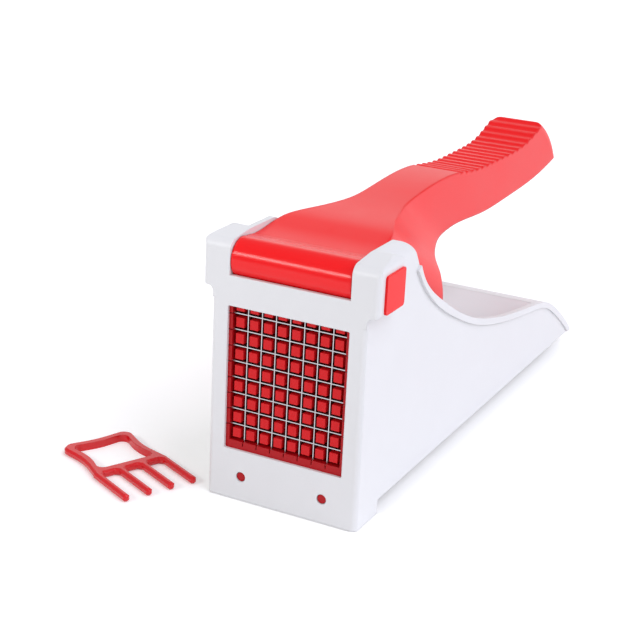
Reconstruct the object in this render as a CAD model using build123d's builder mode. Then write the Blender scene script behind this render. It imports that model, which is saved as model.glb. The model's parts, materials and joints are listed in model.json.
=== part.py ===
"""Lever-action french fry cutter.

A moulded housing carries a grid of thin blades behind its front window. A lever, hinged between two ears
above the window, swings a plate of square pegs forward so that each peg pushes a fry out of its own cell.
A loose comb clears the grid.

Frame: X to the right seen from the front, Y to the rear, Z up. The pieces are drawn with Y = 0 at the face of
the front plate, and written with the origin on the table, under the middle of the front foot's pad. The lever
is drawn closed, with its pegs through the grid.
"""

import os

from build123d import *

os.makedirs("parts", exist_ok=True)

# ---- housing ------------------------------------------------------------------------------------------
PLATE_HALF = 45.0  # half width of the front plate at its foot
PLATE_HALF_TOP = 44.3  # and just under the ears
PLATE_T = 1.7
WALL = 3.0
SOLE = 0.5  # the housing's underside, held off the table by the pads
FOOT_DEPTH = 26.2
SKIRT_HEIGHT = 8.5  # lower edge of the side walls
REAR_Y = 342.6
TRAY_REAR_Y = 263.0
FLOOR_Z = 27.0
FLOOR_T = 3.0
TOP_Z = 146.2
BEAD = 4.0  # width of the raised bead along the rim of each side wall
BEAD_PROUD = 0.8
FRONT_PAD_Y = 20.0
REAR_PAD_Y = 319.0

EAR_HALF = 50.4
EAR_BOTTOM = 118.6
EAR_DEPTH = 31.3
EAR_ROUND = 2.8  # upright corners
EAR_TOP_ROUND = 4.6
EAR_FOOT_ROUND = 2.1
EAR_COVE = 3.2
CHEEK_HALF = 34.7  # inner faces of the ears and of the throat behind the grid
CHEEK_DEPTH = 54.0

WINDOW_HALF = 35.1
WINDOW_BOTTOM = 29.1
WINDOW_TOP = 109.5
LINTEL_TOP = 125.9  # plate edge below the lever's barrel

# ---- hinge --------------------------------------------------------------------------------------------
HINGE_Y = 11.0
HINGE_Z = 133.4
BARREL_R = 10.94
BARREL_HALF = 34.3
PIN_R = 3.0
PIN_HALF = 48.0
RUNNING_GAP = 0.05

# ---- cutting grid -------------------------------------------------------------------------------------
COLUMNS = 8
ROWS = 9
CELL_W = 8.24
CELL_H = 8.90
GRID_TOP = 113.8
BLADE_T = 0.5
BLADE_FRONT = 3.5
BLADE_REAR = 11.5
GRID_HALF = COLUMNS * CELL_W / 2
GRID_BOTTOM = GRID_TOP - ROWS * CELL_H
GRID_MID = (GRID_TOP + GRID_BOTTOM) / 2
BLADE_SEAT = 2.5  # how far a blade's end is let into the frame
BLADE_FIT = 0.03

FRAME_HALF = 39.2
FRAME_TOP = 118.2
FRAME_FOOT = 5.0
FRAME_REAR = 11.9
FRAME_GAP = 0.3
LOCATOR_X = 24.3
LOCATOR_Z = 14.1
LOCATOR_R = 2.5

# ---- pusher -------------------------------------------------------------------------------------------
PEG_W = 4.8
PEG_H = 5.2
PEG_TIP_Y = 2.4  # the pegs reach past the blades, and their plate stays behind the frame
PUSHER_Y = 12.4
PUSHER_T = 3.0
PUSHER_HALF = 32.6
PUSHER_BOTTOM = 32.6
PUSHER_TOP = 116.0
BULKHEAD_T = 3.5
SCREW_R = 1.5
SCREW_HEAD_R = 3.0
SCREWS = [(-2.5 * CELL_W, GRID_MID), (2.5 * CELL_W, GRID_MID)]

# ---- lever --------------------------------------------------------------------------------------------
LEVER_HALF = 34.2
LEVER_WALL = 3.2
FLARE_SHIFT = 1.75  # rearward shift of the flare for each millimetre down
FLARE_Z = 148.0  # height at which the flare's outline is drawn
FLARE_RISE = 17.0  # the outline is swept down from this far above it
GRIP_ROUND = 6.0  # upright corners of the grip's end
GROOVES = 17
GROOVE_R = 5.0
GROOVE_DEPTH = 1.0

# ---- comb ---------------------------------------------------------------------------------------------
COMB_AT = (-94.6, -0.7)
COMB_TURN = -26.0
COMB_PITCH = 14.0
COMB_T = 4.4
COMB_EDGE = 1.2
TINE_W = 3.9
TINE_END = 33.6
BAR_EDGE = 2.3  # side of the bar that the tines spring from

HINGE_AXIS = Plane(origin=(0, HINGE_Y, HINGE_Z), x_dir=(0, 1, 0), z_dir=(1, 0, 0))


def save(piece, name):
    """Set a finished piece over the origin, label it and write it to its own file."""
    piece.part.locate(Location((0, -FRONT_PAD_Y, 0)))
    piece.part.label = name
    export_step(piece.part, f"parts/{name}.step")


def across(y):
    """Plane across the cutter at the depth y, facing forward."""
    return Plane.XZ.offset(-y)


def curve(points, start, end):
    """Smooth curve through the points, with its direction given at both ends."""
    return Spline(*points, tangents=[start, end], tangent_scalars=[1, 1])


def beside(edge, gap, start):
    """Points to the right of a curve, at a constant gap, from part of the way along it to its end."""
    steps = [start + (1 - start) * k / 6 for k in range(7)]
    return [(edge @ t) + (edge % t).rotate(Axis.Z, -90) * gap for t in steps]


def flare(inset):
    """Outline of the lever seen from above, drawn in from its flanks; lower down it lies farther to the rear."""
    with BuildSketch(Plane((0, -FLARE_RISE * FLARE_SHIFT, FLARE_Z + FLARE_RISE))) as outline:
        with BuildLine():
            points = [(x - inset, y) for x, y in FLANK]
            curve(points, (0, 1), (0, 1))
            Polyline(points[0], (points[0][0], -260), (0, -260))
            Line(points[-1], (0, points[-1][1]))
            mirror(about=Plane.YZ)
        make_face()
    return outline.sketch


# ---- outlines of the housing --------------------------------------------------------------------------
BROW = [(0, 144.0), (20.0, TOP_Z)]
RIM = [(45.0, TOP_Z), (57.0, 137.5), (66.0, 123.5), (94.2, 101.8), (137.0, 79.7), (204.0, 60.2), (258.0, 51.3)]
NOSE = [RIM[-1], (284.0, 45.6), (310.0, 32.4), (REAR_Y, SKIRT_HEIGHT + 1.0)]

with BuildSketch(Plane.YZ) as side_view:
    with BuildLine():
        Polyline((FOOT_DEPTH, SKIRT_HEIGHT), (FOOT_DEPTH, SOLE), (0, SOLE))
        FilletPolyline((0, SOLE), *BROW, RIM[0], radius=[6, 20])
        rim = curve(RIM, (1, 0), (1, -0.15))
        nose = curve(NOSE, (1, -0.15), (1, -0.85))
        Polyline(NOSE[-1], (REAR_Y, SKIRT_HEIGHT), (FOOT_DEPTH, SKIRT_HEIGHT))
    make_face()

with BuildSketch(Plane.XZ) as front_view:
    with BuildLine():
        Polyline((0, 0), (PLATE_HALF, 0), (PLATE_HALF_TOP, EAR_BOTTOM), (PLATE_HALF_TOP, TOP_Z - 8.7))
        CenterArc((PLATE_HALF_TOP - 8.7, TOP_Z - 8.7), 8.7, 0, 90)
        Line((PLATE_HALF_TOP - 8.7, TOP_Z), (0, TOP_Z))
        mirror(about=Plane.YZ)
    make_face()

with BuildSketch(Plane.YZ) as tray_view:
    with BuildLine():
        ramp = curve([(146, FLOOR_Z), (212, 35.5), (TRAY_REAR_Y, 50.4)], (1, 0), (1, 0.3))
        Polyline(ramp @ 1, (TRAY_REAR_Y, TOP_Z + 1), (FRAME_REAR, TOP_Z + 1), (FRAME_REAR, FLOOR_Z), ramp @ 0)
    make_face()

with BuildSketch(Plane.YZ) as under_view:
    with BuildLine():
        skin = Spline((146, FLOOR_Z - FLOOR_T), (212, 32.3), (262, 46.0), (284, 41.6), (308, 29.0), (335, 8.0))
        Polyline(skin @ 1, (335, -1), (FOOT_DEPTH, -1), (FOOT_DEPTH, SKIRT_HEIGHT), (15, SKIRT_HEIGHT))
        Polyline((15, SKIRT_HEIGHT), (15, FLOOR_Z - FLOOR_T), skin @ 0)
    make_face()

with BuildSketch(Plane.YZ) as bead_view:
    with BuildLine():
        above = Spline(*beside(rim, -2, 0.1), *beside(nose, -2, 0.2))
        below = Spline(*beside(rim, BEAD, 0.1), *beside(nose, BEAD, 0.2))
        Line(above @ 0, below @ 0)
        Line(above @ 1, below @ 1)
    make_face()
    add(side_view.sketch_local, mode=Mode.INTERSECT)

with BuildPart() as ear:
    # seen from the side
    with BuildSketch(Plane.YZ.offset(CHEEK_HALF)):
        with BuildLine():
            FilletPolyline((0, EAR_BOTTOM - 6), *BROW, (EAR_DEPTH, TOP_Z), (EAR_DEPTH, EAR_BOTTOM - 6),
                           radius=[6, 20, 8.8])
            Line((EAR_DEPTH, EAR_BOTTOM - 6), (0, EAR_BOTTOM - 6))
        make_face()
    extrude(amount=EAR_HALF - CHEEK_HALF)
    # from the front, with a cove into the side wall
    with BuildSketch(Plane.XZ):
        with BuildLine():
            FilletPolyline((CHEEK_HALF, TOP_Z), (EAR_HALF, TOP_Z), (EAR_HALF, EAR_BOTTOM),
                           (PLATE_HALF_TOP, EAR_BOTTOM), (PLATE_HALF_TOP, EAR_BOTTOM - 6),
                           radius=[EAR_TOP_ROUND, EAR_FOOT_ROUND, EAR_COVE])
            Polyline((PLATE_HALF_TOP, EAR_BOTTOM - 6), (CHEEK_HALF, EAR_BOTTOM - 6), (CHEEK_HALF, TOP_Z))
        make_face()
    extrude(amount=-EAR_DEPTH, mode=Mode.INTERSECT)
    # from above
    with BuildSketch(Plane.XY):
        with BuildLine():
            FilletPolyline((CHEEK_HALF, 0), (EAR_HALF, 0), (EAR_HALF, EAR_DEPTH), (CHEEK_HALF, EAR_DEPTH),
                           radius=EAR_ROUND)
            Line((CHEEK_HALF, EAR_DEPTH), (CHEEK_HALF, 0))
        make_face()
    extrude(amount=TOP_Z, mode=Mode.INTERSECT)

with BuildPart() as housing:
    extrude(side_view.sketch, PLATE_HALF, both=True)
    extrude(front_view.sketch, -2 * REAR_Y, mode=Mode.INTERSECT)
    with BuildSketch(Plane.XY):
        with Locations((0, REAR_Y / 2)):
            RectangleRounded(2 * PLATE_HALF, REAR_Y, 3.2)
    extrude(amount=TOP_Z, mode=Mode.INTERSECT)

    # throat behind the grid, tray behind it, and the hollow underneath
    extrude(tray_view.sketch, CHEEK_HALF, both=True, mode=Mode.SUBTRACT)
    with BuildSketch(Plane.YZ):
        add(tray_view.sketch_local)
        with Locations((CHEEK_DEPTH / 2, TOP_Z / 2)):
            Rectangle(CHEEK_DEPTH, 2 * TOP_Z, mode=Mode.SUBTRACT)
    extrude(amount=PLATE_HALF - WALL, both=True, mode=Mode.SUBTRACT)
    extrude(under_view.sketch, PLATE_HALF - WALL, both=True, mode=Mode.SUBTRACT)

    # each side of the throat is a double wall, open downwards, solid around the hinge pin
    with Locations((CHEEK_HALF + 5, 34, 60), (-CHEEK_HALF - 5, 34, 60)):
        Box(4.6, 34, 2 * (60 - SKIRT_HEIGHT), mode=Mode.SUBTRACT)

    # bead along the rim
    for side in (1, -1):
        extrude(Plane.YZ.offset(side * 43) * bead_view.sketch_local, side * (PLATE_HALF - 43 + BEAD_PROUD))

    add(ear.part)
    add(ear.part.mirror(Plane.YZ))

    # cradle for the lever's barrel, over the lintel
    with BuildSketch(Plane.YZ):
        with Locations((HINGE_Y, HINGE_Z)):
            Circle(BARREL_R + 0.45)
        with Locations((CHEEK_DEPTH / 2 - 1, LINTEL_TOP)):
            Rectangle(CHEEK_DEPTH + 2, 40, align=(Align.CENTER, Align.MIN))
    extrude(amount=CHEEK_HALF, both=True, mode=Mode.SUBTRACT)

    # window, slot for the blade frame, locating holes, pin bores
    with BuildSketch(Plane.XZ):
        with Locations((0, (WINDOW_BOTTOM + WINDOW_TOP) / 2)):
            RectangleRounded(2 * WINDOW_HALF, WINDOW_TOP - WINDOW_BOTTOM, 0.8)
        with Locations((LOCATOR_X, LOCATOR_Z), (-LOCATOR_X, LOCATOR_Z)):
            Circle(LOCATOR_R + 0.3)
    extrude(amount=-PLATE_T, mode=Mode.SUBTRACT)
    with Locations((0, PLATE_T, 0)):
        Box(2 * (FRAME_HALF + FRAME_GAP), FRAME_REAR - PLATE_T + 0.2, FRAME_TOP + FRAME_GAP,
            align=(Align.CENTER, Align.MIN, Align.MIN), mode=Mode.SUBTRACT)
    with BuildSketch(HINGE_AXIS):
        Circle(PIN_R + RUNNING_GAP)
    extrude(amount=EAR_HALF, both=True, mode=Mode.SUBTRACT)

    # rear foot: a channel across the underside, and ribs under the tray
    with BuildSketch(Plane.YZ):
        Polygon((311, SOLE), (327, SOLE), (327, 19), (324.5, 20.5), (324.5, 4.5), (313.5, 4.5), (313.5, 28.5),
                (311, 30), align=None)
    extrude(amount=35.5, both=True)
    for rib_y in (60, 105, 150):
        with Locations((0, rib_y, SKIRT_HEIGHT)):
            Box(2 * (PLATE_HALF - WALL) + 1, 2.4, 16.5, align=(Align.CENTER, Align.CENTER, Align.MIN))

    # recesses for the pads
    for pad_y in (FRONT_PAD_Y, REAR_PAD_Y):
        with Locations((0, pad_y, 0)):
            Box(60.4, 8.4, 2.5, align=(Align.CENTER, Align.CENTER, Align.MIN), mode=Mode.SUBTRACT)

save(housing, "housing")

for pad_name, pad_y in (("foot_pad_front", FRONT_PAD_Y), ("foot_pad_rear", REAR_PAD_Y)):
    with BuildPart() as foot_pad:
        with Locations((0, pad_y, 0)):
            Box(60, 8, 2.5, align=(Align.CENTER, Align.CENTER, Align.MIN))
        chamfer(foot_pad.edges().filter_by(Axis.Z), 1)
    save(foot_pad, pad_name)

# ---- blade frame and blades ---------------------------------------------------------------------------
COLUMN_X = [(i - (COLUMNS - 2) / 2) * CELL_W for i in range(COLUMNS - 1)]
ROW_Z = [GRID_TOP - (j + 1) * CELL_H for j in range(ROWS - 1)]
BLADE_DEPTH = BLADE_REAR - BLADE_FRONT

with BuildPart() as blade_frame:
    with BuildSketch(Plane.XZ.offset(-PLATE_T)):
        with Locations((0, FRAME_FOOT)):
            Rectangle(2 * FRAME_HALF, FRAME_TOP - FRAME_FOOT, align=(Align.CENTER, Align.MIN))
        with Locations((0, GRID_MID)):
            Rectangle(2 * GRID_HALF, GRID_TOP - GRID_BOTTOM, mode=Mode.SUBTRACT)
    extrude(amount=-(FRAME_REAR - PLATE_T))
    # slots that take the blades' ends, open to the front
    with Locations(*[(x, PLATE_T, GRID_MID) for x in COLUMN_X]):
        Box(BLADE_T + 2 * BLADE_FIT, BLADE_REAR - PLATE_T, GRID_TOP - GRID_BOTTOM + 2 * BLADE_SEAT,
            align=(Align.CENTER, Align.MIN, Align.CENTER), mode=Mode.SUBTRACT)
    with Locations(*[(0, PLATE_T, z) for z in ROW_Z]):
        Box(2 * (GRID_HALF + BLADE_SEAT), BLADE_REAR - PLATE_T, BLADE_T + 2 * BLADE_FIT,
            align=(Align.CENTER, Align.MIN, Align.CENTER), mode=Mode.SUBTRACT)
    # the foot of the frame is a plain apron with the two locating pegs
    with Locations((0, PLATE_T + 3.0, 0)):
        Box(2 * FRAME_HALF - 8, FRAME_REAR, GRID_BOTTOM - 6, align=(Align.CENTER, Align.MIN, Align.MIN),
            mode=Mode.SUBTRACT)
    with BuildSketch(Plane.XZ.offset(-PLATE_T)):
        with Locations((LOCATOR_X, LOCATOR_Z), (-LOCATOR_X, LOCATOR_Z)):
            Circle(LOCATOR_R)
    extrude(amount=1.2)

save(blade_frame, "blade_frame")

for number, x in enumerate(COLUMN_X, start=1):
    with BuildPart() as vertical_blade:
        with Locations((x, BLADE_FRONT, GRID_MID)):
            Box(BLADE_T, BLADE_DEPTH, GRID_TOP - GRID_BOTTOM + 2 * BLADE_SEAT,
                align=(Align.CENTER, Align.MIN, Align.CENTER))
        # halved from the front where the level blades cross
        with Locations(*[(x, BLADE_FRONT, z) for z in ROW_Z]):
            Box(BLADE_T, BLADE_DEPTH / 2, BLADE_T + 2 * BLADE_FIT,
                align=(Align.CENTER, Align.MIN, Align.CENTER), mode=Mode.SUBTRACT)
    save(vertical_blade, f"vertical_blade_{number}")

for number, z in enumerate(ROW_Z, start=1):
    with BuildPart() as horizontal_blade:
        with Locations((0, BLADE_FRONT, z)):
            Box(2 * (GRID_HALF + BLADE_SEAT), BLADE_DEPTH, BLADE_T, align=(Align.CENTER, Align.MIN, Align.CENTER))
        # halved from the rear where the upright blades cross
        with Locations(*[(x, BLADE_REAR, z) for x in COLUMN_X]):
            Box(BLADE_T + 2 * BLADE_FIT, BLADE_DEPTH / 2, BLADE_T,
                align=(Align.CENTER, Align.MAX, Align.CENTER), mode=Mode.SUBTRACT)
    save(horizontal_blade, f"horizontal_blade_{number}")

# ---- hinge pin and its caps ---------------------------------------------------------------------------
with BuildPart() as hinge_pin:
    with BuildSketch(HINGE_AXIS):
        Circle(PIN_R)
    extrude(amount=PIN_HALF, both=True)

save(hinge_pin, "hinge_pin")

for side, cap_name in ((1, "pin_cap_right"), (-1, "pin_cap_left")):
    with BuildPart() as pin_cap:
        with BuildSketch(Plane.YZ.offset(side * EAR_HALF)):
            with Locations((16.6, 129.8)):
                RectangleRounded(21.9, 20.5, 1.8)
        extrude(amount=side * 1.2)
        with BuildSketch(HINGE_AXIS.offset(side * EAR_HALF)):
            Circle(PIN_R)
        extrude(amount=-side * 2.2)
    save(pin_cap, cap_name)

# ---- lever --------------------------------------------------------------------------------------------
HOOD_TOP = [(23.5, 142.8), (41, 144.5), (51, 146.6), (86.6, 147.8), (123, 149.9), (160, 151.7), (182, 150.6)]
GRIP_TOP = [HOOD_TOP[-1], (210, 147.1), (240, 146.0), (267, 145.9), (291, 147.5), (309.7, 152.0), (324.7, 156.0)]
GRIP_END = (343.8, 144.4)
UNDERSIDE = [(359.0, 127.6), (321, 119.7), (273, 116.2), (227, 115.4), (184, 118.2)]
REAR_EDGE = [UNDERSIDE[-1], (161.2, 117.4), (138.2, 114.9), (126.2, 109.0), (123.6, 101.0), (124.4, 91.0)]
FLANK = [(LEVER_HALF, 30), (33.3, 41), (31.5, 51), (25.2, 68.5), (19.8, 86.6), (16.2, 103), (14.9, 123),
         (14.9, 174), (15.7, 240), (17.1, 291), (18.0, 325), (18.0, 400)]

with BuildSketch(Plane.YZ) as lever_side:
    with BuildLine():
        hood_top = curve(HOOD_TOP, (1, 0.02), (1, -0.1))
        grip_top = curve(GRIP_TOP, (1, -0.1), (1, 0.25))
        ThreePointArc(GRIP_TOP[-1], GRIP_END, UNDERSIDE[0])
        curve(UNDERSIDE, (-1, -0.25), (-1, 0.02))
        curve(REAR_EDGE, (-1, 0.02), (0.15, -1))
        Polyline(REAR_EDGE[-1], (126, 82), (30, PUSHER_BOTTOM), (PUSHER_Y + PUSHER_T, PUSHER_BOTTOM),
                 (PUSHER_Y + PUSHER_T, HINGE_Z - 6), (HINGE_Y, HINGE_Z), (HINGE_Y, HINGE_Z + BARREL_R),
                 HOOD_TOP[0])
    make_face()

with BuildSketch(Plane.YZ) as hollow_side:
    with BuildLine():
        ceiling = Spline((24, 139), (51, 143.3), (86.6, 144.5), (123, 146.6), (160, 148.0), (210, 143.5), (240, 142.5),
                         (267, 142.4), (291, 144.0), (322, 151.8))
        Polyline(ceiling @ 1, (352, 128), (352, 20), (PUSHER_Y + PUSHER_T + BULKHEAD_T, 20),
                 (PUSHER_Y + PUSHER_T + BULKHEAD_T, HINGE_Z - 8), ceiling @ 0)
    make_face()

with BuildPart() as hollow:
    extrude(hollow_side.sketch, LEVER_HALF, both=True)
    extrude(flare(LEVER_WALL), 300, dir=(0, FLARE_SHIFT, -1), mode=Mode.INTERSECT)

with BuildPart() as lever:
    extrude(lever_side.sketch, LEVER_HALF, both=True)
    extrude(flare(0), 300, dir=(0, FLARE_SHIFT, -1), mode=Mode.INTERSECT)
    end_edges = lever.faces().sort_by(Axis.Y)[-1].edges().sort_by(Axis.X)
    fillet([end_edges[0], end_edges[-1]], GRIP_ROUND)
    # grip ribs: rounded grooves across the top
    with BuildSketch(Plane.YZ):
        for k in range(GROOVES):
            t = (k + 0.5) / GROOVES
            with Locations((grip_top @ t) + (grip_top % t).rotate(Axis.Z, 90) * (GROOVE_R - GROOVE_DEPTH)):
                Circle(GROOVE_R)
    extrude(amount=LEVER_HALF, both=True, mode=Mode.SUBTRACT)
    add(hollow.part, mode=Mode.SUBTRACT)
    # barrel and its bore
    with BuildSketch(HINGE_AXIS):
        Circle(BARREL_R)
    extrude(amount=BARREL_HALF, both=True)
    with BuildSketch(HINGE_AXIS):
        Circle(PIN_R + RUNNING_GAP)
    extrude(amount=BARREL_HALF, both=True, mode=Mode.SUBTRACT)
    # screw holes through the bulkhead
    with BuildSketch(across(PUSHER_Y + PUSHER_T)):
        with Locations(*SCREWS):
            Circle(SCREW_R + 0.1)
    extrude(amount=-BULKHEAD_T - 1, mode=Mode.SUBTRACT)

save(lever, "lever")

# ---- pusher and its screws ----------------------------------------------------------------------------
with BuildPart() as pusher:
    with BuildSketch(across(PUSHER_Y)):
        with Locations((0, (PUSHER_TOP + PUSHER_BOTTOM) / 2)):
            Rectangle(2 * PUSHER_HALF, PUSHER_TOP - PUSHER_BOTTOM)
    extrude(amount=-PUSHER_T)
    with BuildSketch(across(PUSHER_Y)):
        with Locations((0, GRID_MID)):
            with GridLocations(CELL_W, CELL_H, COLUMNS, ROWS):
                Rectangle(PEG_W, PEG_H)
    extrude(amount=PUSHER_Y - PEG_TIP_Y)
    with BuildSketch(across(PUSHER_Y + PUSHER_T)):
        with Locations(*SCREWS):
            Circle(SCREW_R)
    extrude(amount=7, mode=Mode.SUBTRACT)

save(pusher, "pusher")

with BuildPart() as pusher_screws:
    with BuildSketch(across(PUSHER_Y + PUSHER_T - 6)):
        with Locations(*SCREWS):
            Circle(SCREW_R)
    extrude(amount=-6 - BULKHEAD_T)
    with BuildSketch(across(PUSHER_Y + PUSHER_T + BULKHEAD_T)):
        with Locations(*SCREWS):
            Circle(SCREW_HEAD_R)
    extrude(amount=-2.2)

save(pusher_screws, "pusher_screws")

# ---- cleaning comb ------------------------------------------------------------------------------------
COMB_HALF = 1.5 * COMB_PITCH + TINE_W / 2
OUTER = [(BAR_EDGE, COMB_HALF), (-18, 19.2), (-41.4, 23.0)]
INNER = [(-2.5, 18.6), (-18, 14.2), (-36.4, 18.2)]

with BuildPart() as cleaning_comb:
    comb_plane = Plane(origin=(*COMB_AT, 0)).rotated((0, 0, COMB_TURN))
    with BuildSketch(comb_plane) as comb_plan:
        with BuildLine():
            FilletPolyline(*OUTER, (-38.6, 0), *[(u, -w) for u, w in reversed(OUTER)], radius=[50, 6, 60, 6, 50])
            Line(OUTER[0], (BAR_EDGE, -COMB_HALF))
        make_face()
        # four tines, bevelled at their tips and where they spring from the bar
        with Locations(*[(0, (k - 1.5) * COMB_PITCH) for k in range(4)]):
            Rectangle(TINE_END, TINE_W, align=(Align.MIN, Align.CENTER))
        chamfer(comb_plan.vertices().group_by(Axis.X)[-1], TINE_W * 0.3)
        roots = comb_plan.vertices().filter_by_position(Axis.X, BAR_EDGE - 0.1, BAR_EDGE + 0.1)
        chamfer(roots.filter_by_position(Axis.Y, 1 - COMB_HALF, COMB_HALF - 1), 1.6)
    extrude(amount=COMB_T)
    chamfer(cleaning_comb.faces().sort_by(Axis.Z)[0].edges(), COMB_EDGE)
    chamfer(cleaning_comb.faces().sort_by(Axis.Z)[-1].edges(), COMB_EDGE)
    # finger opening with bowed sides
    with BuildSketch(comb_plane):
        with BuildLine():
            FilletPolyline(*INNER, (-33.8, 0), *[(u, -w) for u, w in reversed(INNER)],
                           radius=[4, 40, 4, 40, 4, 40, 4], close=True)
        make_face()
    extrude(amount=COMB_T, mode=Mode.SUBTRACT)

save(cleaning_comb, "cleaning_comb")
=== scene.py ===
import json
import math

import bpy
from mathutils import Matrix, Vector

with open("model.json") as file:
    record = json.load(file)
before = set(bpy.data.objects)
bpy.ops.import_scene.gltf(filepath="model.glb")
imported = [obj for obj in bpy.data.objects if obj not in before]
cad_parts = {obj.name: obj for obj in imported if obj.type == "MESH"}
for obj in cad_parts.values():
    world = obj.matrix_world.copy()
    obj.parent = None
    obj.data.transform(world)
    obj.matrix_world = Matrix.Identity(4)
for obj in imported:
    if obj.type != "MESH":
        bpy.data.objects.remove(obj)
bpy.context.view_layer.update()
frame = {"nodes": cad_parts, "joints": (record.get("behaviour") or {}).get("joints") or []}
nodes = frame["nodes"]
joints = {joint["name"]: joint for joint in frame["joints"]}


# ---- materials --------------------------------------------------------------------------
# Lengths are in metres. A noise's scale is about the number of its lumps in a metre.
PLASTIC_IOR = 1.49
DRIFT_SCALE, DRIFT_DETAIL = 28.0, 3.0  # slow changes along a moulding
SHEEN_DRIFT = (0.88, 1.14)  # times the roughness
TONE_DRIFT = (0.97, 1.02)  # times the colour
GRAIN_SCALE, GRAIN_DEPTH = 2500.0, 0.00002
MOULDED_EDGE = 0.0005  # the radius that the light sees on an edge
BEVEL_SAMPLES = 6
SCATTER_RADIUS, SCATTER_SCALE = 0.004, 0.5
POLISH_FADE = 0.002

LINE_SCALE, LINE_DETAIL = 900.0, 3.0  # lines left by grinding or turning
LINE_SHEEN = (0.7, 1.4)  # times the roughness
LINE_DEPTH, LINE_STRENGTH = 0.00001, 0.6

RUBBER_ROUGHNESS = 0.8
RUBBER_SCALE, RUBBER_DETAIL, RUBBER_DEPTH = 1500.0, 4.0, 0.00006


def new_material(name, color, roughness, metallic=0.0):
    """A material with its base shader, and the node tree to add detail to."""
    mat = bpy.data.materials.new(name)
    mat.use_nodes = True
    tree = mat.node_tree
    shader = tree.nodes["Principled BSDF"]
    shader.inputs["Base Color"].default_value = (*color, 1)
    shader.inputs["Roughness"].default_value = roughness
    shader.inputs["Metallic"].default_value = metallic
    return mat, tree, shader


def object_noise(tree, scale, detail=2.0, stretch=(1, 1, 1)):
    """Noise fixed to the object, drawn out along an axis whose stretch is small."""
    coords = tree.nodes.new("ShaderNodeTexCoord")
    mapping = tree.nodes.new("ShaderNodeMapping")
    mapping.inputs["Scale"].default_value = stretch
    noise = tree.nodes.new("ShaderNodeTexNoise")
    noise.inputs["Scale"].default_value = scale
    noise.inputs["Detail"].default_value = detail
    tree.links.new(coords.outputs["Object"], mapping.inputs["Vector"])
    tree.links.new(mapping.outputs["Vector"], noise.inputs["Vector"])
    return noise.outputs["Fac"]


def vary_roughness(tree, shader, source, roughness, factors):
    """Roughness that follows a socket, from its value times one factor to times the other."""
    node = tree.nodes.new("ShaderNodeMapRange")
    node.inputs["To Min"].default_value = roughness * factors[0]
    node.inputs["To Max"].default_value = roughness * factors[1]
    tree.links.new(source, node.inputs["Value"])
    tree.links.new(node.outputs["Result"], shader.inputs["Roughness"])


def bump(tree, shader, height, depth, strength=1.0, edge=0.0):
    """Surface relief from a height socket, over edges rounded by the radius edge."""
    node = tree.nodes.new("ShaderNodeBump")
    node.inputs["Strength"].default_value = strength
    node.inputs["Distance"].default_value = depth
    tree.links.new(height, node.inputs["Height"])
    if edge:
        bevel = tree.nodes.new("ShaderNodeBevel")
        bevel.samples = BEVEL_SAMPLES
        bevel.inputs["Radius"].default_value = edge
        tree.links.new(bevel.outputs["Normal"], node.inputs["Normal"])
    tree.links.new(node.outputs["Normal"], shader.inputs["Normal"])


def moulded(name, color, roughness, edge=MOULDED_EDGE, subsurface=0.0, specular=0.5):
    """Moulded plastic: an even colour with slow drifts of tone and sheen, and a fine grain."""
    mat, tree, shader = new_material(name, color, roughness)
    shader.inputs["IOR"].default_value = PLASTIC_IOR
    shader.inputs["Specular IOR Level"].default_value = specular
    drift = object_noise(tree, DRIFT_SCALE, DRIFT_DETAIL)
    vary_roughness(tree, shader, drift, roughness, SHEEN_DRIFT)
    tint = tree.nodes.new("ShaderNodeMix")
    tint.data_type = "RGBA"
    for socket, factor in zip("AB", TONE_DRIFT):
        tint.inputs[socket].default_value = (*[min(1.0, c * factor) for c in color], 1)
    tree.links.new(drift, tint.inputs["Factor"])
    tree.links.new(tint.outputs["Result"], shader.inputs["Base Color"])
    bump(tree, shader, object_noise(tree, GRAIN_SCALE), GRAIN_DEPTH, edge=edge)
    if subsurface:
        shader.inputs["Subsurface Weight"].default_value = subsurface
        shader.inputs["Subsurface Radius"].default_value = (SCATTER_RADIUS,) * 3
        shader.inputs["Subsurface Scale"].default_value = SCATTER_SCALE
    return mat


def polish_barrel(mat, joint, radius, roughness):
    """Makes a moulding smoother within a radius of the axis of a hinge that lies along X."""
    tree = mat.node_tree
    shader = tree.nodes["Principled BSDF"]
    dull = shader.inputs["Roughness"].links[0].from_socket
    coords = tree.nodes.new("ShaderNodeTexCoord")
    flat = tree.nodes.new("ShaderNodeVectorMath")
    flat.operation = "MULTIPLY"
    flat.inputs[1].default_value = (0, 1, 1)
    away = tree.nodes.new("ShaderNodeVectorMath")
    away.operation = "DISTANCE"
    away.inputs[1].default_value = joint["pos_m"]
    fade = tree.nodes.new("ShaderNodeMapRange")
    fade.inputs["From Min"].default_value = radius
    fade.inputs["From Max"].default_value = radius + POLISH_FADE
    blend = tree.nodes.new("ShaderNodeMix")
    blend.inputs["A"].default_value = roughness
    tree.links.new(coords.outputs["Object"], flat.inputs[0])
    tree.links.new(flat.outputs["Vector"], away.inputs[0])
    tree.links.new(away.outputs["Value"], fade.inputs["Value"])
    tree.links.new(fade.outputs["Result"], blend.inputs["Factor"])
    tree.links.new(dull, blend.inputs["B"])
    tree.links.new(blend.outputs["Result"], shader.inputs["Roughness"])


def steel(name, color, roughness, stretch):
    """Steel with fine lines along an axis whose stretch is small."""
    mat, tree, shader = new_material(name, color, roughness, metallic=1.0)
    lines = object_noise(tree, LINE_SCALE, LINE_DETAIL, stretch)
    vary_roughness(tree, shader, lines, roughness, LINE_SHEEN)
    bump(tree, shader, lines, LINE_DEPTH, LINE_STRENGTH)
    return mat


def rubber(name, color):
    """Dull rubber with a soft grain."""
    mat, tree, shader = new_material(name, color, RUBBER_ROUGHNESS)
    bump(tree, shader, object_noise(tree, RUBBER_SCALE, RUBBER_DETAIL), RUBBER_DEPTH)
    return mat


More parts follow.
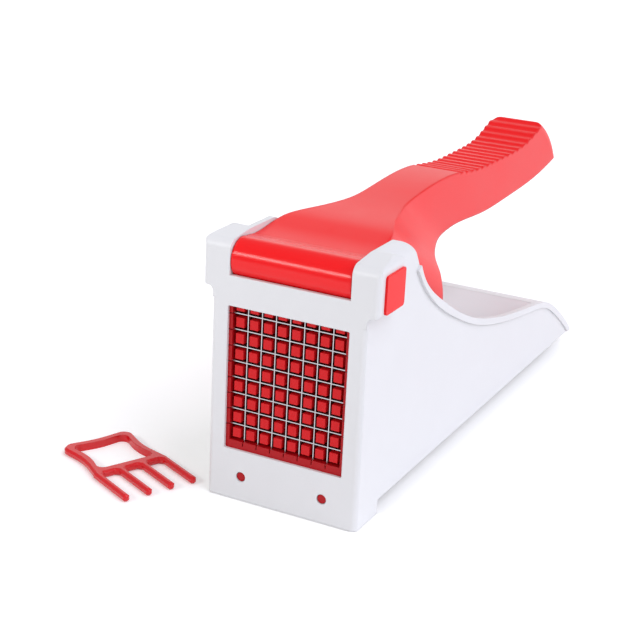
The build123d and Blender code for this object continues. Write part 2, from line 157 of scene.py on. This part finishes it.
WHITE = moulded("white_plastic", (0.77, 0.77, 0.785), 0.38, subsurface=0.05)
RED = moulded("red_plastic", (0.92, 0.007, 0.010), 0.34, specular=0.22)
RED_LEVER = moulded("red_lever_plastic", (0.90, 0.007, 0.010), 0.34, edge=0.002, specular=0.36)
polish_barrel(RED_LEVER, joints["lever_hinge"], radius=0.0112, roughness=0.16)
RED_GLOSS = moulded("red_gloss_plastic", (0.70, 0.008, 0.014), 0.18)
RED_PEGS = moulded("red_peg_plastic", (0.66, 0.006, 0.010), 0.36, edge=0.0003, specular=0.25)
# a darker copy of the red plastic for the blade frame: painted shade for the frame's faces
# inside the housing's window
RED_FRAME_PAINTED_SHADE = moulded("red_frame_plastic_painted_shade", (0.44, 0.004, 0.008), 0.36, edge=0.0003, specular=0.25)
BLADE_UP = steel("blade_steel_upright", (0.56, 0.56, 0.57), 0.28, stretch=(1, 1, 0.04))
BLADE_ACROSS = steel("blade_steel_across", (0.56, 0.56, 0.57), 0.28, stretch=(0.04, 1, 1))
PIN_STEEL = steel("turned_steel", (0.62, 0.62, 0.63), 0.3, stretch=(0.05, 1, 1))
SCREW_STEEL = steel("zinc_steel", (0.58, 0.59, 0.60), 0.4, stretch=(1, 1, 1))
PAD = rubber("pad_rubber", (0.03, 0.03, 0.032))

LOOKS = {
    "housing": WHITE,
    "blade_frame": RED_FRAME_PAINTED_SHADE,
    "lever": RED_LEVER,
    "pusher": RED_PEGS,
    "pusher_screws": SCREW_STEEL,
    "hinge_pin": PIN_STEEL,
    "pin_cap_left": RED,
    "pin_cap_right": RED,
    "foot_pad_front": PAD,
    "foot_pad_rear": PAD,
    "cleaning_comb": RED_GLOSS,
}
for name, obj in nodes.items():
    look = LOOKS.get(name)
    if look is None:
        look = BLADE_UP if name.startswith("vertical") else BLADE_ACROSS
    obj.data.materials.clear()
    obj.data.materials.append(look)


# ---- floor ------------------------------------------------------------------------------
FLOOR_REACH = 6
FLOOR_TONE, FLOOR_ROUGHNESS = 0.92, 0.9
FLOOR_GLOW = 0.22

floor_mesh = bpy.data.meshes.new("floor")
floor_corners = [(-1, -1), (1, -1), (1, 1), (-1, 1)]
floor_mesh.from_pydata([(FLOOR_REACH * x, FLOOR_REACH * y, 0) for x, y in floor_corners],
                       [], [(0, 1, 2, 3)])
floor = bpy.data.objects.new("floor", floor_mesh)
bpy.context.scene.collection.objects.link(floor)
floor_mat, floor_tree, floor_shader = new_material(
    "floor_white", (FLOOR_TONE,) * 3, FLOOR_ROUGHNESS)
floor_shader.inputs["Specular IOR Level"].default_value = 0.0
floor_shader.inputs["Emission Color"].default_value = (1, 1, 1, 1)
# the camera and reflections see the floor a little lighter than it lights the object
seen = floor_tree.nodes.new("ShaderNodeLightPath")
either = floor_tree.nodes.new("ShaderNodeMath")
either.operation = "MAXIMUM"
glow = floor_tree.nodes.new("ShaderNodeMath")
glow.operation = "MULTIPLY"
glow.inputs[1].default_value = FLOOR_GLOW
floor_tree.links.new(seen.outputs["Is Camera Ray"], either.inputs[0])
floor_tree.links.new(seen.outputs["Is Glossy Ray"], either.inputs[1])
floor_tree.links.new(either.outputs["Value"], glow.inputs[0])
floor_tree.links.new(glow.outputs["Value"], floor_shader.inputs["Emission Strength"])
floor_mesh.materials.append(floor_mat)


# ---- light ------------------------------------------------------------------------------
WORLD_STRENGTH = 0.45
BARREL = Vector((0, -0.009, 0.133))  # the lever's hinge, where the soft boxes aim
KEY_SIDE = Vector((-0.45, -0.78, 0.435))  # from the barrel to the front, left and up
KEY_DISTANCE = 1.2


def area_light(name, place, target, size, power):
    """A soft box at place, aimed at target."""
    data = bpy.data.lights.new(name, "AREA")
    data.shape = "RECTANGLE"
    data.size, data.size_y = size
    data.energy = power
    light = bpy.data.objects.new(name, data)
    light.location = place
    light.rotation_euler = (Vector(target) - Vector(place)).to_track_quat("-Z", "Y").to_euler()
    bpy.context.scene.collection.objects.link(light)


def sun(name, direction, strength, angle, color):
    """Even light from a direction, over a cone of the given angle in degrees."""
    data = bpy.data.lights.new(name, "SUN")
    data.energy = strength
    data.angle = math.radians(angle)
    data.color = color
    light = bpy.data.objects.new(name, data)
    light.rotation_euler = Vector(direction).to_track_quat("Z", "Y").to_euler()
    bpy.context.scene.collection.objects.link(light)


world = bpy.data.worlds.new("studio")
world.use_nodes = True
background = world.node_tree.nodes["Background"]
background.inputs["Color"].default_value = (1, 1, 1, 1)
background.inputs["Strength"].default_value = WORLD_STRENGTH
bpy.context.scene.world = world

area_light("key_front_left", BARREL + KEY_DISTANCE * KEY_SIDE, BARREL,
           size=(0.6, 0.17), power=4.2)
area_light("glow_behind", (-0.85, 1.7, 0.75), BARREL, size=(2.4, 1.2), power=5.4)
sun("fill_right", direction=(0.7, 0, 0.7), strength=1.9, angle=60, color=(0.97, 0.98, 1.1))


# ---- camera -----------------------------------------------------------------------------
# Fitted to the outlines in the photo. The azimuth is from the front towards the right.
AZIMUTH = math.radians(26.357)
ELEVATION = math.radians(19.888)
ROLL = math.radians(2.927)
CAMERA_PLACE = (0.33461, -0.65840, 0.37025)
LENS_MM, SENSOR_MM = 85.04, 36
CLIP_START = 0.05

back = Vector((math.sin(AZIMUTH) * math.cos(ELEVATION),
               -math.cos(AZIMUTH) * math.cos(ELEVATION),
               math.sin(ELEVATION)))
level = Vector((math.cos(AZIMUTH), math.sin(AZIMUTH), 0))
upright = back.cross(level)
right = math.cos(ROLL) * level + math.sin(ROLL) * upright
up = -math.sin(ROLL) * level + math.cos(ROLL) * upright
turn = Matrix((right, up, back)).transposed().to_4x4()

camera_data = bpy.data.cameras.new("camera")
camera_data.lens = LENS_MM
camera_data.sensor_width = SENSOR_MM
camera_data.clip_start = CLIP_START
camera = bpy.data.objects.new("camera", camera_data)
camera.matrix_world = Matrix.Translation(CAMERA_PLACE) @ turn
bpy.context.scene.collection.objects.link(camera)
bpy.context.scene.camera = camera

bpy.context.scene.view_settings.view_transform = "Standard"
